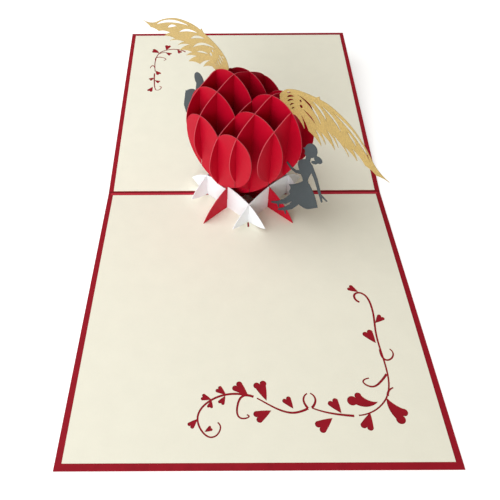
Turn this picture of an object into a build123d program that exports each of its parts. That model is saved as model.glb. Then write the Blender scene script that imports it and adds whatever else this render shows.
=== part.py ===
from build123d import *
import os
from math import cos, radians, sin, sqrt, tan

# Pop-up card: a folded card that stands open, with a heart of slotted paper sheets on its fold.
# Millimetres, +Z up. The front half lies flat, the back half is lifted a little by the fold.
# The fold runs along X, and the origin is under the middle of the whole card.

# Card
CARD_WIDTH = 150.0
CARD_DEPTH = 150.0
BACK_LIFT = 7.0
COVER_T = 0.4
LINER_T = 0.2
LINER_BORDER = 2.7
FOLD_GAP = 3.2

# Paper of the pop-up
SLICE_T = 0.3
STRIP_T = 0.3
WING_T = 0.3
FIGURE_T = 0.3
SLOT_PLAY = 0.1
SEAT_PLAY = 0.04

# Place of the pop-up, glued a little to the right of the middle and in front of the fold
POPUP_X = 1.2
POPUP_Y = -0.5

# Heart, in a frame that stands on the fold
HEART_HALF_WIDTH = 31.0
HEART_HALF_DEPTH = 27.5
SHOULDER_Z = 47.5
LOBE_HEIGHT = 20.5
LOBE_OFFSET = 14.0
KEEL_DROP = 44.5
KEEL_POWER = 0.62
PLAN_POWER = 2.3
BELLY_SHARE = 0.57
BELLY_FALL = 0.12
TOP_FALL = 0.5
TOP_FALL_POWER = 1.3
TOP_END_POWER = 9.0
CLEFT_FULLNESS = 0.12
OVAL_UNDER_POWER = 1.4
OVAL_UNDER_SLOPE = 0.62
HEART_UNDER_POWER = 1.42
HEART_UNDER_SLOPE = 1.55
OVAL_COUNT = 5
HEART_COUNT = 5
OVAL_PITCH_SHARE = 0.37
HEART_PITCH_SHARE = 0.4

# Feet of the two middle slices and the white base strips
FOOT_OVERHANG = 2.0
FOOT_HEIGHT = 15.5
FOOT_SHOULDER = 14.5
FOOT_BOW = 2.2
STRIP_OFFSET = 15.2
STRIP_REACH = 27.0
STRIP_HEIGHT = 13.6
STRIP_CROWN = 2.4
STRIP_TIP_Z = 4.5
STRIP_BOW = 0.8

# Slits in the liners where the pop-up is glued to the card
TAB_SLIT_LENGTH = 3.4
TAB_SLIT_WIDTH = 0.9
TAB_SLIT_Y = 24.8

# Wings
WING_SCALE = 1.0
WING_TILT = 6.0
WING_ROOT_U = 22.0
WING_ROOT_Z = 68.0

# Figures
FIGURE_SCALE = 1.0

# Vines, with their leaf and stem widths
VINE_SCALE = 1.0
FRONT_STEM_WIDTH = 1.05
BACK_STEM_WIDTH = 0.9
STEM_TAPER = 0.55
LEAF_FATNESS = 0.64
LEAF_SWELL = 0.02
LEAF_SHOULDER = 0.72
LEAF_CLEFT = 0.86
LEAF_LOBE = 0.55

LEAN = BACK_LIFT / 2
FOLD_Y = CARD_DEPTH * (1 - cos(radians(BACK_LIFT))) / 2
SHEET_TOP = COVER_T + LINER_T
SLOT_WIDTH = SLICE_T + 2 * SLOT_PLAY
SLOT_CUT = 200.0
FOOT_REACH = HEART_HALF_WIDTH + FOOT_OVERHANG
OVAL_PITCH = HEART_HALF_WIDTH * OVAL_PITCH_SHARE
HEART_PITCH = HEART_HALF_DEPTH * HEART_PITCH_SHARE
ALONG_HEART = Vector(1, -1, 0) / sqrt(2)
ALONG_OVAL = Vector(1, 1, 0) / sqrt(2)


# Small helpers
def bowed(start, end, bow):
    """An arc from start to end, bowed to the left of its chord by bow."""
    a = Vector(*start)
    b = Vector(*end)
    side = Vector(-(b.Y - a.Y), b.X - a.X).normalized()
    return ThreePointArc(a, (a + b) / 2 + side * bow, b)


def leaf_slit(start, end, bow, width):
    """A pointed slit between two arcs."""
    return make_face([bowed(start, end, bow + width / 2), bowed(end, start, width / 2 - bow)])


def blade(points, width, end_width):
    """A strip along a smooth line, tapered from width to end_width."""
    middle = Spline(*points)
    steps = 3 * len(points)
    left = []
    right = []
    for step in range(steps + 1):
        share = step / steps
        place = middle.position_at(share)
        heading = middle.tangent_at(share)
        across = Vector(-heading.Y, heading.X) * (width + (end_width - width) * share) / 2
        left.append(place + across)
        right.append(place - across)
    return make_face([
        Spline(*left), Line(left[-1], right[-1]), Spline(*reversed(right)), Line(right[0], left[0])])


def limb(points, widths):
    """A straight-sided limb through points, with a width at each of them."""
    pieces = []
    for start, end, near, far in zip(points, points[1:], widths, widths[1:]):
        a = Vector(*start)
        b = Vector(*end)
        across = Vector(-(b.Y - a.Y), b.X - a.X).normalized()
        quad = [a + across * near / 2, b + across * far / 2, b - across * far / 2, a - across * near / 2]
        pieces.append(make_face(Polyline(*quad, close=True)))
        pieces.append(Pos(b.X, b.Y) * Circle(far / 2))
    return fuse_flat(pieces)


def fuse_flat(pieces):
    """One flat shape from overlapping ones."""
    whole = pieces[0]
    for piece in pieces[1:]:
        whole = whole + piece
    return whole


def mirror_flat(shape):
    return mirror(shape, about=Plane.YZ)


# Form of the heart
def lobe_top(u):
    """Height of the heart's upper edge in its middle plane."""
    reach = HEART_HALF_WIDTH - LOBE_OFFSET
    return SHOULDER_Z + LOBE_HEIGHT * sqrt(max(0, 1 - ((abs(u) - LOBE_OFFSET) / reach) ** 2))


def keel(u):
    """Height of the heart's lower edge in its middle plane."""
    return SHOULDER_Z - KEEL_DROP * max(0, 1 - abs(u) / HEART_HALF_WIDTH) ** KEEL_POWER


def half_depth(u):
    """Half the heart's depth at u."""
    return HEART_HALF_DEPTH * max(0, 1 - (abs(u) / HEART_HALF_WIDTH) ** PLAN_POWER) ** (1 / PLAN_POWER)


def half_width(v):
    """Half the heart's width at v."""
    return HEART_HALF_WIDTH * max(0, 1 - (abs(v) / HEART_HALF_DEPTH) ** PLAN_POWER) ** (1 / PLAN_POWER)


def belly(u):
    """Height where the heart is deepest at u."""
    share = BELLY_SHARE - BELLY_FALL * (u / HEART_HALF_WIDTH) ** 2
    return keel(u) + share * (lobe_top(u) - keel(u))


def depth_share(u, v):
    return min(1, abs(v) / max(half_depth(u), 1e-6))


def rim_top(u, v):
    """Height of the slices' upper edges at the point u, v."""
    share = depth_share(u, v)
    fall = TOP_FALL - CLEFT_FULLNESS * max(0, 1 - abs(u) / LOBE_OFFSET)
    rise = (1 - fall * share ** TOP_FALL_POWER) * sqrt(1 - share ** TOP_END_POWER)
    return belly(u) + (lobe_top(u) - belly(u)) * rise


def rim_bottom(u, v, power, slope):
    """Height of a slice's lower edge at the point u, v. A higher power makes it fuller."""
    full = power + slope * abs(u) / HEART_HALF_WIDTH
    return belly(u) - (belly(u) - keel(u)) * (1 - depth_share(u, v) ** full) ** (1 / full)


def oval_bottom(u, v):
    return rim_bottom(u, v, OVAL_UNDER_POWER, OVAL_UNDER_SLOPE)


def heart_bottom(u, v):
    return rim_bottom(u, v, HEART_UNDER_POWER, HEART_UNDER_SLOPE)


def card_rise(u, v):
    """Height of the liners above the fold at the point u, v of the leaning pop-up."""
    return abs(v - u) / sqrt(2) * tan(radians(LEAN)) + SEAT_PLAY


# Flat outlines of the slices
def oval_outline(u):
    reach = half_depth(u)
    angles = range(0, 180, 18)
    upper = []
    lower = []
    for angle in angles:
        v = reach * cos(radians(angle))
        upper.append((v, rim_top(u, v)))
        lower.append((-v, oval_bottom(u, v)))
    return make_face(Spline(*upper, *lower, periodic=True))


def heart_outline(v):
    reach = half_width(v)
    angles = range(0, 90, 15)
    places = [reach * sin(radians(angle)) for angle in angles]
    upper = [(u, rim_top(u, v)) for u in places]
    lower = [(u, heart_bottom(u, v)) for u in places]
    end = (reach, belly(reach))
    half = Spline(*upper, end, *reversed(lower))
    right = make_face([half, Line(lower[0], upper[0])])
    return right + mirror_flat(right)


def foot_outline():
    """The pointed feet under a middle slice, with a flat V of a lower edge."""
    tip = (FOOT_REACH, card_rise(0, FOOT_REACH))
    knee = (FOOT_SHOULDER, FOOT_HEIGHT)
    right = make_face([
        Line((0, card_rise(0, 0)), tip), bowed(tip, knee, -FOOT_BOW), Line(knee, (0, FOOT_HEIGHT)),
        Line((0, FOOT_HEIGHT), (0, card_rise(0, 0)))])
    return right + mirror_flat(right)


def strip_outline(heel, toe):
    """A white base strip. It rests on the card at heel and toe, and its pointed ends rise."""
    crown = (0, STRIP_HEIGHT + STRIP_CROWN)
    left = (-STRIP_OFFSET, STRIP_HEIGHT)
    right = (STRIP_OFFSET, STRIP_HEIGHT)
    left_tip = (-STRIP_REACH, STRIP_TIP_Z)
    right_tip = (STRIP_REACH, STRIP_TIP_Z)
    left_heel = (-STRIP_OFFSET, heel)
    right_heel = (STRIP_OFFSET, toe)
    return make_face([
        Line(left_heel, right_heel), bowed(right_heel, right_tip, -STRIP_BOW),
        bowed(right_tip, right, -STRIP_BOW), ThreePointArc(right, crown, left),
        bowed(left, left_tip, -STRIP_BOW), bowed(left_tip, left_heel, -STRIP_BOW)])


def slot(place, level, upward):
    """A slot from level to beyond the upper or the lower edge."""
    middle = level + SLOT_CUT / 2 if upward else level - SLOT_CUT / 2
    return Pos(place, middle) * Rectangle(SLOT_WIDTH, SLOT_CUT)


# Places of the slices
def slice_places(pitch, count):
    return [(index - count // 2) * pitch for index in range(count)]


OVAL_PLACES = slice_places(OVAL_PITCH, OVAL_COUNT)
HEART_PLACES = slice_places(HEART_PITCH, HEART_COUNT)
STRIP_LEVEL = STRIP_HEIGHT / 2


def crosses(u, v):
    """True where an oval at u and a heart at v both have paper."""
    return abs(v) < half_depth(u) - SLOT_WIDTH


def cross_level(u, v):
    """Height where the two slots of a crossing meet."""
    low = 0 if u == 0 and v == 0 else oval_bottom(u, v)
    return (low + rim_top(u, v)) / 2


def oval_shape(u):
    """An oval: slots from above for the hearts, and one from below for the middle heart."""
    shape = oval_outline(u)
    if u == 0:
        shape = shape + foot_outline()
        shape = shape - slot(STRIP_OFFSET, STRIP_LEVEL, False)
        shape = shape - slot(-STRIP_OFFSET, STRIP_LEVEL, False)
    for v in HEART_PLACES:
        if crosses(u, v):
            shape = shape - slot(v, cross_level(u, v), v != 0)
    return shape


def heart_shape(v):
    """A heart: slots from below for the ovals, but from above in the middle heart."""
    shape = heart_outline(v)
    if v == 0:
        shape = shape + foot_outline()
        shape = shape - slot(STRIP_OFFSET, STRIP_LEVEL, False)
        shape = shape - slot(-STRIP_OFFSET, STRIP_LEVEL, False)
    for u in OVAL_PLACES:
        if crosses(u, v):
            shape = shape - slot(u, cross_level(u, v), v == 0)
    return shape


def strip_shape(heel, toe, corners_upward):
    """A base strip with a slot from above in its middle and slots at its two corners."""
    shape = strip_outline(heel, toe) - slot(0, STRIP_LEVEL, True)
    for corner in (-STRIP_OFFSET, STRIP_OFFSET):
        shape = shape - slot(corner, STRIP_LEVEL, corners_upward)
    return shape


# Flat sheets stood up in the pop-up's frame
def stand(shape):
    """Lean the upright pop-up to the middle between the two halves and set it on the fold."""
    fold = FOLD_Y - SHEET_TOP * tan(radians(LEAN))
    return Pos(POPUP_X, fold + POPUP_Y, SHEET_TOP) * Rot(LEAN, 0, 0) * shape


def along_heart(shape, v, thickness):
    plane = Plane(origin=ALONG_OVAL * v, x_dir=ALONG_HEART, z_dir=-ALONG_OVAL)
    return stand(extrude(plane * shape, amount=thickness / 2, both=True))


def along_oval(shape, u, thickness):
    plane = Plane(origin=ALONG_HEART * u, x_dir=ALONG_OVAL, z_dir=ALONG_HEART)
    return stand(extrude(plane * shape, amount=thickness / 2, both=True))


# Card and liners
def card_cover():
    lift = radians(BACK_LIFT)
    profile = Polyline(
        (-CARD_DEPTH, 0), (0, 0), (CARD_DEPTH * cos(lift), CARD_DEPTH * sin(lift)),
        (CARD_DEPTH * cos(lift) - COVER_T * sin(lift), CARD_DEPTH * sin(lift) + COVER_T * cos(lift)),
        (-COVER_T * tan(lift / 2), COVER_T), (-CARD_DEPTH, COVER_T), close=True)
    sheet = extrude(Plane.YZ * make_face(profile), amount=CARD_WIDTH / 2, both=True)
    return Pos(0, FOLD_Y, 0) * sheet


def heart_leaf(x, y, angle, length, curl=0, fatness=LEAF_FATNESS):
    """A heart-shaped leaf with its point at x, y, that grows towards angle and turns by curl degrees."""
    half = length * fatness / 2
    shoulder = length * LEAF_SHOULDER
    lobe = half * LEAF_LOBE
    swell = half / 2 + length * LEAF_SWELL

    def bent(along, across):
        if curl == 0:
            return Vector(along, across)
        radius = length / radians(curl)
        turn = along / radius
        return Vector((radius - across) * sin(turn), radius - (radius - across) * cos(turn))

    cleft = bent(length * LEAF_CLEFT, 0)
    left = bent(shoulder, half)
    right = bent(shoulder, -half)
    point = Vector(0, 0)
    face = make_face([
        ThreePointArc(point, bent(shoulder / 2, swell), left), ThreePointArc(left, bent(length, lobe), cleft),
        ThreePointArc(cleft, bent(length, -lobe), right),
        ThreePointArc(right, bent(shoulder / 2, -swell), point)])
    return Pos(x, y) * Rot(0, 0, angle) * face


# Vines. Each point is given by its distances from the liner's side edge and from its outer edge.
# A leaf has its point, direction and length, and may have a curl and a fatness.
FRONT_STEMS = [
    [(22.2, 72.4), (24, 74.7), (23.1, 77.5), (20.7, 77.5), (17.4, 71.3), (18.1, 55.3), (17.3, 39.3),
     (19.7, 25.8), (25.9, 19.9), (32.3, 18)],
    [(34.1, 17.8), (42.3, 18.8), (46.8, 19.9), (50.2, 21.2)],
    [(50.2, 21.2), (48.8, 23.1), (48.4, 25), (49.1, 26.6), (50.2, 27.4)],
    [(51.7, 21), (52.8, 22.9), (53.1, 24.9), (52.4, 26.5), (51.4, 27.3)],
    [(51.7, 21), (54.8, 19.7), (57.8, 19.2), (62.4, 20.2), (71.6, 25.4)],
    [(72.9, 26), (79.7, 27.3), (90.1, 24.5), (95, 16), (88.8, 9.7), (86.2, 13.5), (87.3, 15.4)],
    [(17.7, 35.8), (21.2, 32), (25.2, 30.2), (27.9, 32), (25.3, 34)],
    [(18, 47.4), (14.8, 42.6), (13, 44.7), (13.9, 47.6)],
    [(74.7, 26.5), (79.5, 21.9), (77.8, 17), (75.1, 17.8), (75.9, 18.5)],
    [(19.3, 26.1), (18.4, 28.3), (16.3, 29.7)],
]
FRONT_LEAVES = [
    (21.7, 78.1, 144, 5.2), (17.3, 60.9, 44, 5.2), (19.1, 50.5, 117, 7),
    (23.7, 23.6, 205, 11, -86, 0.42), (20, 25.4, -80, 10.8, 52, 0.5), (27.7, 19.1, -112, 7.2),
    (38.9, 18.9, 120, 6.5), (42.7, 17, -145, 7.5), (57.5, 20.9, 122, 5.4),
    (67.8, 24.2, 108, 8.8, 0, 0.5), (66.2, 20.2, -154, 7.2), (75.1, 26.7, 137, 7),
    (83.9, 26.9, 140, 4.6), (84.2, 26.5, -119, 4), (89.7, 24.9, 162, 4.2), (89.7, 24.7, -102, 3.4),
    (95.1, 16.9, -133, 4.4), (92.3, 11.7, 31, 3.2),
]
BACK_STEMS = [
    [(35.9, 19.3), (26.9, 16), (18.9, 19.3), (15.6, 29.3), (16.3, 40.4)],
    [(16.4, 41.7), (16.4, 51.6), (19.5, 59.5), (21.3, 56.9), (19.9, 55.7)],
    [(15.9, 28.4), (20.3, 25.2), (22.7, 27.5), (21.3, 28.4)],
    [(15.9, 36.3), (14.2, 34), (12.7, 36.7)],
    [(17.3, 21), (20.2, 19.8), (22.7, 19.5)],
]
BACK_LEAVES = [
    (17.7, 20.5, 125, 5.8, 46), (22.5, 17.1, 79, 5.8), (22.2, 19.5, -35, 4.4), (30.1, 16.5, -57, 4.4),
    (32.6, 16.7, 27, 5.2), (16.5, 39.5, -55, 4.8), (16.3, 46.7, -144, 4), (16.5, 49.5, -33, 3.8),
    (15.7, 56.1, -114, 5),
]


def vine(stems, leaves, stem_width, side, away):
    """Cut-out shapes of a vine in the corner that side and away give."""
    def place(x, y):
        across = CARD_WIDTH / 2 - LINER_BORDER - x * VINE_SCALE
        along = CARD_DEPTH - LINER_BORDER - y * VINE_SCALE
        return side * across, away * along

    shapes = []
    for points in stems:
        shapes.append(blade([place(*point) for point in points], stem_width, stem_width * STEM_TAPER))
    for x, y, angle, length, *growth in leaves:
        shapes.append(heart_leaf(*place(x, y), angle, length * VINE_SCALE, *growth))
    return shapes


def liner(cut_outs, away):
    """A flat liner on the side of the fold that away gives, with its vine and tab slit cut out."""
    depth = CARD_DEPTH - LINER_BORDER - FOLD_GAP / 2
    centre = away * (FOLD_GAP / 2 + depth / 2)
    sheet = Pos(0, centre) * Rectangle(CARD_WIDTH - 2 * LINER_BORDER, depth)
    sheet = sheet - Pos(POPUP_X, away * TAB_SLIT_Y) * Rectangle(TAB_SLIT_WIDTH, TAB_SLIT_LENGTH)
    for shape in cut_outs:
        sheet = sheet - shape
    return Pos(0, 0, COVER_T) * extrude(sheet, amount=LINER_T)


def front_liner():
    cut_outs = vine(FRONT_STEMS, FRONT_LEAVES, FRONT_STEM_WIDTH, 1, -1)
    return Pos(0, FOLD_Y, 0) * liner(cut_outs, -1)


def back_liner():
    cut_outs = vine(BACK_STEMS, BACK_LEAVES, BACK_STEM_WIDTH, -1, 1)
    return Pos(0, FOLD_Y, 0) * Rot(BACK_LIFT, 0, 0) * liner(cut_outs, 1)


# Wings, drawn for the right side with the root at 0, 0
WING_LEADING = [
    (-6.8, 1.4), (-5, 4.8), (-1.4, 7.4), (3.5, 9.2), (10, 10.5), (16, 11.1), (22, 10.4), (28, 8.8), (34, 6),
    (40, 2.1), (44.5, -1.3), (48.5, -3.2), (53, -4.2),
]
WING_BARB = [(9.6, 9.8), (11.8, 11.9), (12.8, 10.2)]
WING_TRAILING = [
    (47, -5.1), (41, -4.1), (32.4, -0.6), (37, -4.6), (28.8, -2), (33, -5.3), (22.3, -0.2), (27.2, -4.6),
    (18.6, 0.2), (26, -6.7), (16.8, -2.8), (21.2, -7.1), (13.6, -3.2), (19.4, -9.2), (11.5, -6.2),
    (4.9, -0.5), (9.2, -6.5), (3.4, -3),
]
WING_TONGUE = [(-1, -5.4), (-6, -3)]
WING_SLITS = [
    ((19, 9.2), (43, -1.6), 2, 1.3), ((28, 5), (34.6, 0.9), 0.5, 1.1), ((13.5, 8.5), (26.5, 2.6), 1.2, 1.1),
    ((9, 8.1), (18.5, 3.4), 0.9, 1.3), ((1.5, 6.6), (17, -0.5), 2.2, 1.2),
    ((6, 1.9), (14.2, -1.2), 0.5, 0.9), ((-3.6, 4.3), (-1.5, 5.7), 0.2, 0.7),
    ((-3.1, 2.2), (0.7, 5), 0.5, 0.9), ((-2.4, 0.5), (0.8, 3.3), 0.5, 0.8),
    ((-0.7, -0.5), (1.3, 1.8), 0.3, 0.7), ((0.6, -1.5), (2, 0.2), 0.2, 0.6),
]
WING_HOLES = [(4, 4.8, 0.6), (4.9, 2.6, 0.8)]
FEATHER_BOW = 0.06


def wing_shape():
    """Spline leading edge, feather tips along the trailing edge, slits between the feathers."""
    trailing = [WING_LEADING[-1], *WING_TRAILING, *WING_TONGUE, WING_LEADING[0]]
    edges = [Spline(*WING_LEADING)]
    for start, end in zip(trailing, trailing[1:]):
        chord = Vector(*end) - Vector(*start)
        bow = FEATHER_BOW * chord.length
        edges.append(bowed(start, end, bow if chord.X > 0 else -bow))
    shape = make_face(edges) + make_face(Polyline(*WING_BARB, close=True))
    for start, end, bow, width in WING_SLITS:
        shape = shape - leaf_slit(start, end, bow, width)
    for x, y, radius in WING_HOLES:
        shape = shape - Pos(x, y) * Circle(radius)
    return scale(shape, WING_SCALE)


def wing(side, tilt):
    """A wing behind the middle heart. A slot in its root clears the oval that passes there."""
    shape = Pos(WING_ROOT_U, WING_ROOT_Z) * Rot(0, 0, tilt) * wing_shape()
    for u in OVAL_PLACES:
        if u > 0:
            shape = shape - slot(u, rim_top(u, 0) + SLOT_PLAY, False)
    if side < 0:
        shape = mirror_flat(shape)
    return along_heart(shape, (SLICE_T + WING_T) / 2, WING_T)


# Figures, drawn for the right side in the plane of the middle heart, with the heart's edge at 0
def head(x, y, size):
    """A head in plain profile that looks towards the heart, with a small nose and chin."""
    skull = Pos(x, y) * Rot(0, 0, 70) * Ellipse(size, size * 0.82)
    bridge = (x - size * 0.7, y + size * 0.13)
    tip = (x - size * 1.12, y - size * 0.23)
    lip = (x - size * 0.6, y - size * 0.33)
    nose = make_face(Polyline(bridge, tip, lip, close=True))
    chin = Pos(x - size * 0.42, y - size * 0.72) * Circle(size * 0.36)
    return fuse_flat([skull, nose, chin])


def woman_shape():
    """A woman in a flared dress, who leans back with one hand on the heart."""
    torso = make_face([
        Spline((2.6, 45.6), (-0.4, 40.6), (1.4, 37.2), (3.9, 32.8)), Line((3.9, 32.8), (7.4, 32.6)),
        Spline((7.4, 32.6), (6.4, 36.4), (7.8, 42), (5.6, 45.8)), Line((5.6, 45.8), (2.6, 45.6))])
    skirt = make_face([
        Spline((4.0, 33.4), (1.0, 29.6), (-3.8, 25.6)),
        Spline((-3.8, 25.6), (-2.6, 23.4), (-3.0, 21.4), (-1.7, 20)),
        Spline((-1.7, 20), (1.2, 17.6), (5.0, 17), (8.0, 17.3), (11.0, 19.4), (14.4, 22.6)),
        Spline((14.4, 22.6), (11.4, 28.6), (7.4, 33.4)), Line((7.4, 33.4), (4.0, 33.4))])
    neck = limb([(4.2, 44.6), (4.6, 50)], [2.6, 2.4])
    front_leg = limb([(-0.4, 19.6), (-4.6, 13.2), (-9.2, 9), (-12.8, 6.8)], [3.8, 2.8, 1.8, 1.0])
    front_heel = limb([(-9.0, 9), (-8.2, 6.6)], [1.5, 0.7])
    back_leg = limb([(2.4, 18.4), (-0.8, 12), (-4.8, 7.4), (-8.0, 4.8)], [3.8, 2.8, 1.8, 1.0])
    back_heel = limb([(-4.4, 7.6), (-3.2, 5.2)], [1.5, 0.7])
    front_arm = limb([(2.6, 37.6), (-1.0, 35.8), (-4.0, 36.4), (-6.4, 38)], [2.2, 1.5, 1.4, 1.0])
    back_arm = limb([(6.0, 44.2), (10.4, 38.4), (14.0, 31.6), (15.8, 27.8)], [2.6, 2.0, 1.5, 0.9])
    fingers = limb([(14.4, 31.2), (18.4, 30)], [1.2, 0.6])
    bun = fuse_flat([Pos(9.6, 49.4) * Ellipse(2.2, 1.7), Pos(7.9, 46.9) * Rot(0, 0, 20) * Ellipse(1.7, 0.8)])
    tie = limb([(7.4, 51), (9.4, 48.4), (8.2, 46.8)], [2.0, 1.8, 1.2])
    return fuse_flat([
        torso, skirt, neck, front_leg, front_heel, back_leg, back_heel, front_arm, back_arm, fingers, bun,
        tie, head(5.2, 52, 3.9)])


def man_shape():
    """A man in a suit, who stands with one hand on the heart."""
    jacket = make_face([
        Spline((3.6, 47), (0.2, 42), (0.6, 34), (1.4, 24.4)), Line((1.4, 24.4), (10.6, 23.4)),
        Spline((10.6, 23.4), (12.6, 33), (14.4, 42.4), (11.8, 45.2), (7.6, 47.2)),
        Line((7.6, 47.2), (3.6, 47))])
    neck = limb([(5.2, 45.6), (4.4, 51)], [3.0, 2.8])
    front_leg = limb([(3.6, 25.6), (-0.6, 15.4), (-5.8, 8), (-10.4, 6.4)], [5.0, 4.2, 2.6, 1.5])
    back_leg = limb([(7.8, 25.2), (4.0, 14.6), (-0.8, 6.4), (-5.4, 4.6)], [5.2, 4.2, 2.6, 1.5])
    front_arm = limb([(2.6, 42.6), (-0.8, 37.6), (-4.2, 38), (-6.6, 39)], [3.4, 2.8, 2.2, 1.4])
    back_arm = limb([(12.4, 43.2), (15.0, 34), (13.8, 30.4), (9.4, 27)], [3.6, 2.6, 2.4, 1.6])
    return fuse_flat([jacket, neck, front_leg, back_leg, front_arm, back_arm, head(3.6, 54.4, 3.9)])


def figure(shape, side):
    placed = Pos(HEART_HALF_WIDTH, 0) * scale(shape, FIGURE_SCALE)
    if side < 0:
        placed = mirror_flat(placed)
    return along_heart(placed, -(SLICE_T + FIGURE_T) / 2, FIGURE_T)


def base_strips():
    """The four white strips, with their lower edges on the slopes of the open card."""
    near = card_rise(STRIP_OFFSET, STRIP_OFFSET)
    far = card_rise(STRIP_OFFSET, -STRIP_OFFSET)
    strips = {}
    strips["front_left_strip"] = along_heart(strip_shape(near, far, True), -STRIP_OFFSET, STRIP_T)
    strips["back_right_strip"] = along_heart(strip_shape(far, near, True), STRIP_OFFSET, STRIP_T)
    strips["front_right_strip"] = along_oval(strip_shape(far, near, False), STRIP_OFFSET, STRIP_T)
    strips["back_left_strip"] = along_oval(strip_shape(near, far, False), -STRIP_OFFSET, STRIP_T)
    return strips


def all_parts():
    parts = {"card_cover": card_cover(), "front_liner": front_liner(), "back_liner": back_liner()}
    for number, u in enumerate(OVAL_PLACES, 1):
        parts[f"oval_slice_{number}"] = along_oval(oval_shape(u), u, SLICE_T)
    for number, v in enumerate(HEART_PLACES, 1):
        parts[f"heart_slice_{number}"] = along_heart(heart_shape(v), v, SLICE_T)
    parts.update(base_strips())
    parts["left_wing"] = wing(-1, WING_TILT)
    parts["right_wing"] = wing(1, -WING_TILT)
    parts["woman_figure"] = figure(woman_shape(), 1)
    parts["man_figure"] = figure(man_shape(), -1)
    return parts


os.makedirs("parts", exist_ok=True)
for name, shape in all_parts().items():
    export_step(shape, f"parts/{name}.step")
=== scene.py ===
"""Pop-up heart card: paper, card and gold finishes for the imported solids, and a small white studio."""

from math import radians

import bpy
from bpy.props import FloatProperty, FloatVectorProperty, PointerProperty
from bpy.types import Operator, Panel, PropertyGroup
from mathutils import Euler, Matrix, Vector


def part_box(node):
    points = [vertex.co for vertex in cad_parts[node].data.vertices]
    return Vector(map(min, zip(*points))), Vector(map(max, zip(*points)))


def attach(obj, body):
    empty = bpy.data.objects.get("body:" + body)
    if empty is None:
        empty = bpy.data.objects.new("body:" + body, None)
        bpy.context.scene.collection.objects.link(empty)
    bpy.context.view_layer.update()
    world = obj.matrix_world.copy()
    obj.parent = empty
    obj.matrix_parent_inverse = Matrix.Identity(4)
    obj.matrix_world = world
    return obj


bl_info = {
    "name": "Pop-up Heart Card",
    "version": (1, 0, 0),
    "blender": (4, 5, 0),
    "location": "View3D > Sidebar > Pop-up Card",
    "description": "Dresses the pop-up card's sheets in paper, card and gold, and lights them",
    "category": "Object",
}

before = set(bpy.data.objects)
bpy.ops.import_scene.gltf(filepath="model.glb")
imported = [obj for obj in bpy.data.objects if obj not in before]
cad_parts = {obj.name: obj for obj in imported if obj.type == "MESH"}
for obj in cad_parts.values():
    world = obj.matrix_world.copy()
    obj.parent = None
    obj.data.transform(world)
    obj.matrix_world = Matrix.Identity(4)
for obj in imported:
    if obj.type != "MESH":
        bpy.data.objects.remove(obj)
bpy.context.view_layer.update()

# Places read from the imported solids, in metres
FRONT_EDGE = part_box("front_liner")[1][1]
BACK_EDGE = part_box("back_liner")[0][1]
FOLD_Y = (FRONT_EDGE + BACK_EDGE) / 2
COVER_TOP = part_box("front_liner")[0][2]
COVER_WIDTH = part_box("card_cover")[1][0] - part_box("card_cover")[0][0]
FOLD_GAP = BACK_EDGE - FRONT_EDGE

# A face whose normal is further than this from its sheet's own normal is a cut edge
EDGE_COSINE = 0.7

# The bead along the fold: points along it, sides of its section, and how quickly it strays per metre
BEAD_POINTS = 240
BEAD_SIDES = 12
BEAD_NOISE = 120.0

# The floor reaches this far from the card, and its glow rises outwards, so that the shadow fades into white
FLOOR_REACH = 4.0
GLOW_AT_CARD = 0.48
GLOW_FAR_OFF = 1.0
GLOW_START = 0.3
GLOW_END = 0.9

# Paper: how thin its fibres are for their length, how they lie, and how unevenly it shines
FIBRE_THINNESS = 0.12
FIBRE_TURN = radians(45)
WORN_RANGE = 0.06

# Sockets of a mix node that mixes colours
MIX_FACTOR = 0
MIX_FIRST = 6
MIX_SECOND = 7
MIX_RESULT = 2

SLICES = [f"{kind}_slice_{number}" for kind in ("oval", "heart") for number in range(1, 6)]
STRIPS = ["front_left_strip", "back_right_strip", "front_right_strip", "back_left_strip"]
WINGS = ["left_wing", "right_wing"]
FIGURES = ["woman_figure", "man_figure"]


def screen(red, green, blue):
    """A colour as it is read off a screen, 0 to 255, turned into light."""
    shares = (red / 255, green / 255, blue / 255)
    return tuple(((s + 0.055) / 1.055) ** 2.4 if s > 0.04045 else s / 12.92 for s in shares)


def colour_property(name, description, default):
    return FloatVectorProperty(
        name=name, description=description, default=default, size=3, min=0.0, max=1.0, subtype="COLOR")


def place_property(name, description, default):
    return FloatVectorProperty(
        name=name, description=description, default=default, size=3, subtype="TRANSLATION", unit="LENGTH")


class CardColours(PropertyGroup):
    """Colours of the papers, with painted shade and a painted highlight at the fold."""

    cover: colour_property("Cover", "Red card of the cover", screen(156, 22, 38))
    # Painted shade: the dark line behind the fold stands in for the shade that falls there, at the back
    # liner's edge.
    crease: colour_property("Crease", "Dark line behind the scored fold", screen(126, 16, 30))
    # Painted highlight: this red is lighter than the cover card that the bead is scored from, and stands in
    # for light catching the bead.
    bead: colour_property("Crease bead", "Raised bead along the scored fold", screen(194, 42, 60))
    liner: colour_property("Liner", "Cream paper of the liners", screen(245, 242, 225))
    # The liners' cut edges are given a brown that is darker than the cream.
    liner_edge: colour_property("Liner edge", "Browned cut edges of the liners", screen(170, 120, 80))
    slice_face: colour_property("Heart paper", "Red paper of the heart", screen(187, 1, 37))
    slice_edge: colour_property("Heart edge", "Pale core at the heart's cut edges", screen(196, 84, 92))
    strip: colour_property("Base strips", "White paper of the base", screen(240, 242, 246))
    wing: colour_property("Wings", "Gold paper of the wings", screen(189, 161, 97))
    wing_edge: colour_property("Wing edge", "Core at the cut edges of the wings", screen(200, 174, 115))
    figure: colour_property("Figures", "Dark grey paper of the figures", screen(75, 82, 86))


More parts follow.
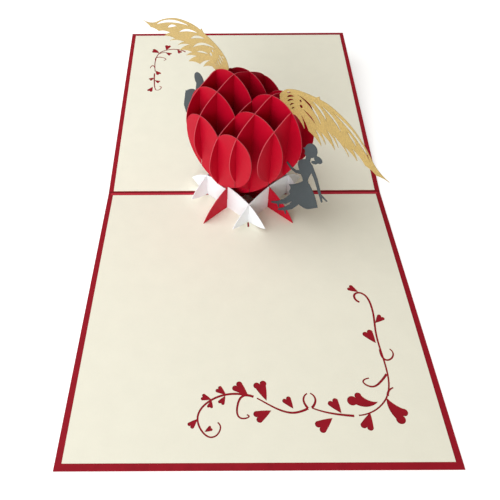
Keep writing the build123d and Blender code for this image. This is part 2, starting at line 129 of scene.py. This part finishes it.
class CardSizes(PropertyGroup):
    """Sizes of the paper's surface and of the scored fold."""

    pulp: FloatProperty(
        name="Pulp clouds", description="Size of the cloudy patches in the paper",
        default=0.009, min=0.001, unit="LENGTH")
    fibre: FloatProperty(
        name="Fibre length", description="Length of the fibres in the paper",
        default=0.0022, min=0.0002, unit="LENGTH")
    tooth: FloatProperty(
        name="Tooth", description="Size of the fine grain on the paper",
        default=0.00022, min=0.00005, unit="LENGTH")
    bead_width: FloatProperty(
        name="Crease width", description="Width of the raised bead along the scored fold",
        default=FOLD_GAP * 0.5, min=0.0002, unit="LENGTH")
    bead_offset: FloatProperty(
        name="Crease offset", description="How far the bead lies in front of the fold's middle",
        default=FOLD_GAP / 8, unit="LENGTH")
    bead_height: FloatProperty(
        name="Crease height", description="Height of the bead above the cover",
        default=0.00014, min=0.0, unit="LENGTH")
    bead_wobble: FloatProperty(
        name="Crease wobble", description="How far the bead strays from a straight line",
        default=0.00016, min=0.0, unit="LENGTH")


class StudioSettings(PropertyGroup):
    """Camera and lamps."""

    lens: FloatProperty(
        name="Lens", description="Focal length of the camera in millimetres", default=36.49)
    sensor: FloatProperty(
        name="Sensor", description="Width of the camera's sensor in millimetres", default=36.0)
    shift: FloatVectorProperty(
        name="Shift", description="Sideways and upward shift of the picture",
        default=(0.0637, 0.0369), size=2)
    near: FloatProperty(
        name="Near limit", description="Nearest distance that the camera sees", default=0.01, unit="LENGTH")
    place: place_property("Camera place", "Where the camera stands", (-0.01417, -0.21100, 0.18893))
    turn: FloatVectorProperty(
        name="Camera turn", description="Tilt, pan and roll of the camera",
        default=(radians(39.832), radians(0.257), radians(-0.164)), size=3, subtype="EULER")
    key_place: place_property("Key place", "Where the large lamp on the left hangs", (-0.46, -0.06, 0.52))
    key_side: FloatProperty(
        name="Key side", description="Side of the square key lamp", default=1.0, unit="LENGTH")
    key_power: FloatProperty(
        name="Key lamp", description="Power of the large lamp on the left", default=5.7, unit="POWER")
    key_colour: colour_property("Key colour", "Cool light of the key lamp", (0.94, 0.97, 1.0))
    front_place: place_property(
        "Front place", "Where the low lamp at the front left hangs", (-0.45, -1.55, 0.42))
    front_side: FloatProperty(
        name="Front side", description="Side of the square front lamp", default=0.9, unit="LENGTH")
    front_power: FloatProperty(
        name="Front lamp", description="Power of the low lamp at the front left",
        default=14.0, unit="POWER")
    front_colour: colour_property("Front colour", "Light of the front lamp", (0.98, 0.99, 1.0))
    aim: place_property("Aim", "Point on the card that the lamps look at", (0.0, 0.0, 0.03))
    fill: FloatProperty(
        name="Fill", description="Strength of the soft light from all sides", default=0.29)
    fill_colour: colour_property("Fill colour", "Warm tone of the soft light", (1.0, 0.93, 0.80))


# Shader helpers
class Finish:
    """A material's node tree, with short calls for the nodes that papers share."""

    def __init__(self, name):
        self.material = bpy.data.materials.new(name)
        self.material.use_nodes = True
        self.tree = self.material.node_tree
        self.shader = self.tree.nodes["Principled BSDF"]
        self.place = self.add("ShaderNodeTexCoord").outputs["Object"]

    def add(self, kind, **settings):
        node = self.tree.nodes.new(kind)
        for key, value in settings.items():
            setattr(node, key, value)
        return node

    def link(self, source, target):
        self.tree.links.new(source, target)

    def noise(self, size, detail, stretch=(1, 1, 1), turn=0.0):
        """Noise whose features are about size metres, stretched along the axes."""
        mapping = self.add("ShaderNodeMapping")
        mapping.inputs["Scale"].default_value = [1 / (size * s) for s in stretch]
        mapping.inputs["Rotation"].default_value = (0, 0, turn)
        self.link(self.place, mapping.inputs["Vector"])
        noise = self.add("ShaderNodeTexNoise")
        noise.inputs["Scale"].default_value = 1.0
        noise.inputs["Detail"].default_value = detail
        self.link(mapping.outputs["Vector"], noise.inputs["Vector"])
        return noise.outputs["Fac"]

    def spread(self, value, low, high, start=0.3, end=0.7):
        """Map a value from start and end onto low and high."""
        node = self.add("ShaderNodeMapRange")
        for key, number in (("From Min", start), ("From Max", end), ("To Min", low), ("To Max", high)):
            node.inputs[key].default_value = number
        self.link(value, node.inputs["Value"])
        return node.outputs["Result"]

    def combine(self, first, second, operation="ADD"):
        """Two values joined by a sum, or by another operation."""
        node = self.add("ShaderNodeMath", operation=operation)
        self.link(first, node.inputs[0])
        self.link(second, node.inputs[1])
        return node.outputs["Value"]

    def mix_input(self, node, index, colour):
        """Set a mix node's colour, which is a fixed one or comes from another node."""
        if isinstance(colour, bpy.types.NodeSocket):
            self.link(colour, node.inputs[index])
        else:
            node.inputs[index].default_value = (*colour, 1.0)

    def tint(self, colour, value):
        """A colour made lighter or darker by a value around 1."""
        node = self.add("ShaderNodeMix", data_type="RGBA", blend_type="MULTIPLY")
        node.inputs[MIX_FACTOR].default_value = 1.0
        self.mix_input(node, MIX_FIRST, colour)
        self.mix_input(node, MIX_SECOND, value)
        return node.outputs[MIX_RESULT]

    def between(self, factor, first, second):
        """One colour where factor is 0 and another where it is 1."""
        node = self.add("ShaderNodeMix", data_type="RGBA")
        self.link(factor, node.inputs[MIX_FACTOR])
        self.mix_input(node, MIX_FIRST, first)
        self.mix_input(node, MIX_SECOND, second)
        return node.outputs[MIX_RESULT]

    def colour(self, socket):
        self.link(socket, self.shader.inputs["Base Color"])

    def bump(self, height, depth, strength):
        node = self.add("ShaderNodeBump")
        node.inputs["Distance"].default_value = depth
        node.inputs["Strength"].default_value = strength
        self.link(height, node.inputs["Height"])
        self.link(node.outputs["Normal"], self.shader.inputs["Normal"])


def paper(name, colour, roughness, gloss, mottle, depth):
    """Paper with cloudy pulp, fibres that cross each other and a fine tooth."""
    sizes = bpy.context.scene.card_sizes
    finish = Finish(name)
    clouds = finish.spread(finish.noise(sizes.pulp, detail=4.0), 1 - mottle, 1 + mottle)
    thin = FIBRE_THINNESS
    along = finish.noise(sizes.fibre, detail=2.0, stretch=(1.0, thin, thin), turn=FIBRE_TURN)
    across = finish.noise(sizes.fibre, detail=2.0, stretch=(thin, 1.0, thin), turn=FIBRE_TURN)
    upright = finish.noise(sizes.fibre, detail=2.0, stretch=(thin, thin, 1.0))
    fibres = finish.combine(finish.combine(along, across, "MAXIMUM"), upright, "MAXIMUM")
    streaks = finish.spread(fibres, 1 - mottle, 1 + mottle, start=0.45, end=0.8)
    finish.colour(finish.tint(finish.tint(colour, clouds), streaks))
    tooth = finish.noise(sizes.tooth, detail=2.0)
    finish.bump(finish.combine(tooth, fibres), depth, strength=0.5)
    worn = finish.spread(tooth, roughness - WORN_RANGE, roughness + WORN_RANGE)
    finish.link(worn, finish.shader.inputs["Roughness"])
    finish.shader.inputs["Specular IOR Level"].default_value = gloss
    return finish


def cover_card():
    """Red card, with painted shade: a dark band behind the fold's middle, behind its bead, stands in for
    the shade there.
    """
    colours = bpy.context.scene.card_colours
    finish = paper("red_cover_card", colours.cover, roughness=0.7, gloss=0.12, mottle=0.05, depth=0.00003)
    plain = finish.shader.inputs["Base Color"].links[0].from_socket
    parts = finish.add("ShaderNodeSeparateXYZ")
    finish.link(finish.place, parts.inputs["Vector"])
    # Painted shade: from the fold's middle back to the back liner's edge, the red turns to the crease
    # colour, with a wavering front edge.
    behind = finish.spread(parts.outputs["Y"], 0.0, 2.0, start=FOLD_Y, end=FOLD_Y + FOLD_GAP)
    wobble = finish.spread(finish.noise(size=0.003, detail=3.0), -0.1, 0.1)
    fold_shade = finish.spread(finish.combine(behind, wobble), 0.0, 1.0, start=0.0, end=0.4)
    edge = finish.spread(behind, 1.0, 0.0, start=0.8, end=1.1)
    finish.colour(finish.between(finish.combine(fold_shade, edge, "MULTIPLY"), plain, colours.crease))
    return finish.material


def gold_paper():
    """Gold paper: a dull metal coat with bright and dark specks."""
    colours = bpy.context.scene.card_colours
    finish = paper("gold_wing_paper", colours.wing, roughness=0.46, gloss=0.5, mottle=0.05, depth=0.00003)
    plain = finish.shader.inputs["Base Color"].links[0].from_socket
    specks = finish.spread(finish.noise(size=0.0005, detail=3.0), 0.8, 1.16)
    finish.colour(finish.tint(plain, specks))
    finish.shader.inputs["Metallic"].default_value = 0.15
    return finish.material


def cut_edge(name, colour):
    """The bare core of a sheet at a cut edge, with short fibres across it."""
    finish = Finish(name)
    fray = finish.noise(size=0.0004, detail=3.0)
    finish.colour(finish.tint(colour, finish.spread(fray, 0.86, 1.1)))
    finish.bump(fray, depth=0.00003, strength=0.4)
    finish.shader.inputs["Roughness"].default_value = 0.85
    finish.shader.inputs["Specular IOR Level"].default_value = 0.2
    return finish.material


# Dressing of the sheets
def dress(name, face, edge):
    """Give a sheet's faces one finish and its cut edges another."""
    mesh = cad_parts[name].data
    mesh.materials.clear()
    mesh.materials.append(face)
    mesh.materials.append(edge)
    flat = max(mesh.polygons, key=lambda polygon: polygon.area).normal.copy()
    for polygon in mesh.polygons:
        polygon.material_index = int(abs(polygon.normal.dot(flat)) < EDGE_COSINE)


class CARD_OT_cover(Operator):
    """Finish the folded red card."""

    bl_idname = "popup_card.cover"
    bl_label = "Cover"

    def execute(self, context):
        edge = cut_edge("red_cover_edge", context.scene.card_colours.cover)
        dress("card_cover", cover_card(), edge)
        return {"FINISHED"}


def socket_id(tree, name):
    """The identifier by which a modifier sets one of a tree's inputs."""
    return next(item.identifier for item in tree.interface.items_tree if item.name == name)


def crease_tree():
    """A low bead swept along the fold, that strays a little from a straight line."""
    tree = bpy.data.node_groups.new("fold_crease", "GeometryNodeTree")
    for name in ("Half length", "Half width", "Height", "Wobble"):
        tree.interface.new_socket(name, in_out="INPUT", socket_type="NodeSocketFloat")
    tree.interface.new_socket("Place", in_out="INPUT", socket_type="NodeSocketVector")
    tree.interface.new_socket("Material", in_out="INPUT", socket_type="NodeSocketMaterial")
    tree.interface.new_socket("Geometry", in_out="OUTPUT", socket_type="NodeSocketGeometry")
    source = tree.nodes.new("NodeGroupInput").outputs

    def add(kind, links=(), **settings):
        """A new node with its inputs linked or set, as its outputs."""
        node = tree.nodes.new(kind)
        for key, value in settings.items():
            setattr(node, key, value)
        for target, origin in links:
            if isinstance(origin, bpy.types.NodeSocket):
                tree.links.new(origin, node.inputs[target])
            else:
                node.inputs[target].default_value = origin
        return node.outputs

    start = add("ShaderNodeMath", [(0, source["Half length"]), (1, -1.0)], operation="MULTIPLY")
    first = add("ShaderNodeCombineXYZ", [("X", start[0])])
    last = add("ShaderNodeCombineXYZ", [("X", source["Half length"])])
    line = add("GeometryNodeCurvePrimitiveLine", [("Start", first[0]), ("End", last[0])])
    points = add("GeometryNodeResampleCurve", [("Curve", line[0]), ("Count", BEAD_POINTS)])
    place = add("GeometryNodeInputPosition")
    noise = add("ShaderNodeTexNoise", [("Vector", place[0]), ("Scale", BEAD_NOISE), ("Detail", 3.0)])
    around = add("ShaderNodeMath", [(0, noise["Fac"]), (1, 0.5)], operation="SUBTRACT")
    stray = add("ShaderNodeMath", [(0, around[0]), (1, source["Wobble"])], operation="MULTIPLY")
    shift = add("ShaderNodeCombineXYZ", [("Y", stray[0])])
    path = add("GeometryNodeSetPosition", [("Geometry", points[0]), ("Offset", shift[0])])
    ring = add("GeometryNodeCurvePrimitiveCircle", [("Resolution", BEAD_SIDES), ("Radius", 1.0)])
    across = [("X", source["Half width"]), ("Y", source["Height"]), ("Z", 1.0)]
    size = add("ShaderNodeCombineXYZ", across)
    profile = add("GeometryNodeTransform", [("Geometry", ring["Curve"]), ("Scale", size[0])])
    sweep = [("Curve", path[0]), ("Profile Curve", profile[0]), ("Fill Caps", True)]
    bead = add("GeometryNodeCurveToMesh", sweep)
    moved = add("GeometryNodeTransform", [("Geometry", bead[0]), ("Translation", source["Place"])])
    smooth = add("GeometryNodeSetShadeSmooth", [("Geometry", moved[0])])
    real = add("GeometryNodeRealizeInstances", [("Geometry", smooth[0])])
    done = add("GeometryNodeSetMaterial", [("Geometry", real[0]), ("Material", source["Material"])])
    end = tree.nodes.new("NodeGroupOutput")
    tree.links.new(done[0], end.inputs["Geometry"])
    return tree


class CARD_OT_crease(Operator):
    """Add the raised bead along the scored fold."""

    bl_idname = "popup_card.crease"
    bl_label = "Fold crease"

    def execute(self, context):
        sizes = context.scene.card_sizes
        # Painted highlight: the bead gets the lighter bead red instead of the cover's own red.
        colour = context.scene.card_colours.bead
        finish = paper("red_crease_card", colour, roughness=0.62, gloss=0.2, mottle=0.05, depth=0.00003)
        carrier = bpy.data.objects.new("crease_carrier", bpy.data.meshes.new("crease_carrier"))
        context.scene.collection.objects.link(carrier)
        tree = crease_tree()
        modifier = carrier.modifiers.new("fold_crease", "NODES")
        modifier.node_group = tree
        inputs = {
            "Half length": COVER_WIDTH / 2 - FOLD_GAP / 2, "Half width": sizes.bead_width / 2,
            "Height": sizes.bead_height, "Wobble": sizes.bead_wobble,
            "Place": (0.0, FOLD_Y - sizes.bead_offset, COVER_TOP), "Material": finish.material,
        }
        for name, value in inputs.items():
            modifier[socket_id(tree, name)] = value
        graph = context.evaluated_depsgraph_get()
        mesh = bpy.data.meshes.new_from_object(carrier.evaluated_get(graph))
        bpy.data.objects.remove(carrier)
        crease = bpy.data.objects.new("fold_crease", mesh)
        context.scene.collection.objects.link(crease)
        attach(crease, "root")
        return {"FINISHED"}


class CARD_OT_liners(Operator):
    """Finish the two cream liners."""

    bl_idname = "popup_card.liners"
    bl_label = "Liners"

    def execute(self, context):
        colours = context.scene.card_colours
        finish = paper(
            "cream_liner_paper", colours.liner, roughness=0.7, gloss=0.15, mottle=0.012, depth=0.00002)
        # The cut edges of the liners get the darker brown edge colour.
        edge = cut_edge("browned_liner_edge", colours.liner_edge)
        for name in ("front_liner", "back_liner"):
            dress(name, finish.material, edge)
        return {"FINISHED"}


class CARD_OT_heart(Operator):
    """Finish the slotted slices of the heart."""

    bl_idname = "popup_card.heart"
    bl_label = "Heart slices"

    def execute(self, context):
        colours = context.scene.card_colours
        finish = paper(
            "red_heart_paper", colours.slice_face, roughness=0.5, gloss=0.2, mottle=0.05, depth=0.00003)
        edge = cut_edge("pale_heart_edge", colours.slice_edge)
        for name in SLICES:
            dress(name, finish.material, edge)
        return {"FINISHED"}


class CARD_OT_strips(Operator):
    """Finish the white strips of the base."""

    bl_idname = "popup_card.strips"
    bl_label = "Base strips"

    def execute(self, context):
        colour = context.scene.card_colours.strip
        finish = paper("white_strip_paper", colour, roughness=0.7, gloss=0.3, mottle=0.01, depth=0.00002)
        edge = cut_edge("white_strip_edge", colour)
        for name in STRIPS:
            dress(name, finish.material, edge)
        return {"FINISHED"}


class CARD_OT_wings(Operator):
    """Finish the gold wings."""

    bl_idname = "popup_card.wings"
    bl_label = "Wings"

    def execute(self, context):
        face = gold_paper()
        edge = cut_edge("gold_wing_edge", context.scene.card_colours.wing_edge)
        for name in WINGS:
            dress(name, face, edge)
        return {"FINISHED"}


class CARD_OT_figures(Operator):
    """Finish the dark grey figures."""

    bl_idname = "popup_card.figures"
    bl_label = "Figures"

    def execute(self, context):
        colour = context.scene.card_colours.figure
        finish = paper("grey_figure_paper", colour, roughness=0.65, gloss=0.15, mottle=0.06, depth=0.00003)
        edge = cut_edge("grey_figure_edge", colour)
        for name in FIGURES:
            dress(name, finish.material, edge)
        return {"FINISHED"}


# Stage
def floor_finish():
    """Pale floor that keeps the card's shadow and shows as white around it."""
    finish = Finish("pale_floor")
    finish.shader.inputs["Base Color"].default_value = (0.86, 0.86, 0.86, 1)
    finish.shader.inputs["Roughness"].default_value = 0.9
    rays = finish.add("ShaderNodeLightPath")
    seen = finish.combine(rays.outputs["Is Camera Ray"], rays.outputs["Is Glossy Ray"], "MAXIMUM")
    seen = finish.combine(seen, rays.outputs["Is Transmission Ray"], "MAXIMUM")
    distance = finish.add("ShaderNodeVectorMath", operation="LENGTH")
    finish.link(finish.place, distance.inputs[0])
    rise = finish.spread(
        distance.outputs["Value"], GLOW_AT_CARD, GLOW_FAR_OFF, start=GLOW_START, end=GLOW_END)
    glow = finish.combine(seen, rise, "MULTIPLY")
    finish.shader.inputs["Emission Color"].default_value = (1, 1, 1, 1)
    finish.link(glow, finish.shader.inputs["Emission Strength"])
    return finish.material


def lamp(name, place, target, side, power, colour):
    """A square lamp that is aimed at the target."""
    light = bpy.data.lights.new(name, "AREA")
    light.shape = "SQUARE"
    light.size = side
    light.energy = power
    light.color = colour
    holder = bpy.data.objects.new(name, light)
    bpy.context.collection.objects.link(holder)
    aim = (Vector(target) - Vector(place)).to_track_quat("-Z", "Y")
    holder.matrix_world = Matrix.Translation(place) @ aim.to_matrix().to_4x4()


def white_world(strength, colour):
    """Soft light from all sides, and white where the camera sees past the floor."""
    world = bpy.data.worlds.new("studio")
    world.use_nodes = True
    nodes = world.node_tree.nodes
    links = world.node_tree.links
    soft = nodes["Background"]
    soft.inputs["Color"].default_value = (*colour, 1.0)
    soft.inputs["Strength"].default_value = strength
    seen = nodes.new("ShaderNodeBackground")
    seen.inputs["Color"].default_value = (1, 1, 1, 1)
    seen.inputs["Strength"].default_value = 1.0
    rays = nodes.new("ShaderNodeLightPath")
    mix = nodes.new("ShaderNodeMixShader")
    links.new(rays.outputs["Is Camera Ray"], mix.inputs[0])
    links.new(soft.outputs[0], mix.inputs[1])
    links.new(seen.outputs[0], mix.inputs[2])
    links.new(mix.outputs[0], nodes["World Output"].inputs["Surface"])
    bpy.context.scene.world = world


class CARD_OT_stage(Operator):
    """Set the camera, the lamps, the floor and the background."""

    bl_idname = "popup_card.stage"
    bl_label = "Stage"

    def execute(self, context):
        scene = context.scene
        studio = scene.card_studio
        data = bpy.data.cameras.new("camera")
        data.lens = studio.lens
        data.sensor_width = studio.sensor
        data.shift_x = studio.shift[0]
        data.shift_y = studio.shift[1]
        data.clip_start = studio.near
        camera = bpy.data.objects.new("camera", data)
        scene.collection.objects.link(camera)
        turn = Euler(studio.turn).to_matrix().to_4x4()
        camera.matrix_world = Matrix.Translation(studio.place) @ turn
        scene.camera = camera
        for kind in ("key", "front"):
            place, side, power, colour = (
                getattr(studio, f"{kind}_{key}") for key in ("place", "side", "power", "colour"))
            lamp(f"{kind}_lamp", place, studio.aim, side, power, colour)
        white_world(studio.fill, studio.fill_colour)
        mesh = bpy.data.meshes.new("floor")
        corners = [(x * FLOOR_REACH, y * FLOOR_REACH, 0) for x, y in ((-1, -1), (1, -1), (1, 1), (-1, 1))]
        mesh.from_pydata(corners, [], [(0, 1, 2, 3)])
        mesh.materials.append(floor_finish())
        floor = bpy.data.objects.new("floor", mesh)
        scene.collection.objects.link(floor)
        scene.view_settings.view_transform = "Standard"
        return {"FINISHED"}


class CARD_PT_sidebar(Panel):
    """Lists the steps and the settings."""

    bl_idname = "CARD_PT_sidebar"
    bl_label = "Pop-up Card"
    bl_space_type = "VIEW_3D"
    bl_region_type = "UI"
    bl_category = "Pop-up Card"

    def draw(self, context):
        column = self.layout.column()
        for step in STEPS:
            column.operator(step.bl_idname)
        for group, kind in GROUPS.items():
            settings = getattr(context.scene, group)
            column.separator()
            for key in kind.__annotations__:
                column.prop(settings, key)


GROUPS = {"card_colours": CardColours, "card_sizes": CardSizes, "card_studio": StudioSettings}
STEPS = (
    CARD_OT_stage, CARD_OT_cover, CARD_OT_crease, CARD_OT_liners, CARD_OT_heart, CARD_OT_strips,
    CARD_OT_wings, CARD_OT_figures)


def register():
    for kind in (*GROUPS.values(), *STEPS, CARD_PT_sidebar):
        bpy.utils.register_class(kind)
    for name, kind in GROUPS.items():
        setattr(bpy.types.Scene, name, PointerProperty(type=kind))


def unregister():
    for name in GROUPS:
        delattr(bpy.types.Scene, name)
    for kind in (CARD_PT_sidebar, *reversed(STEPS), *reversed(GROUPS.values())):
        bpy.utils.unregister_class(kind)


def main():
    register()
    bpy.ops.popup_card.stage()
    bpy.ops.popup_card.cover()
    bpy.ops.popup_card.crease()
    bpy.ops.popup_card.liners()
    bpy.ops.popup_card.heart()
    bpy.ops.popup_card.strips()
    bpy.ops.popup_card.wings()
    bpy.ops.popup_card.figures()


if __name__ == "__main__":
    main()
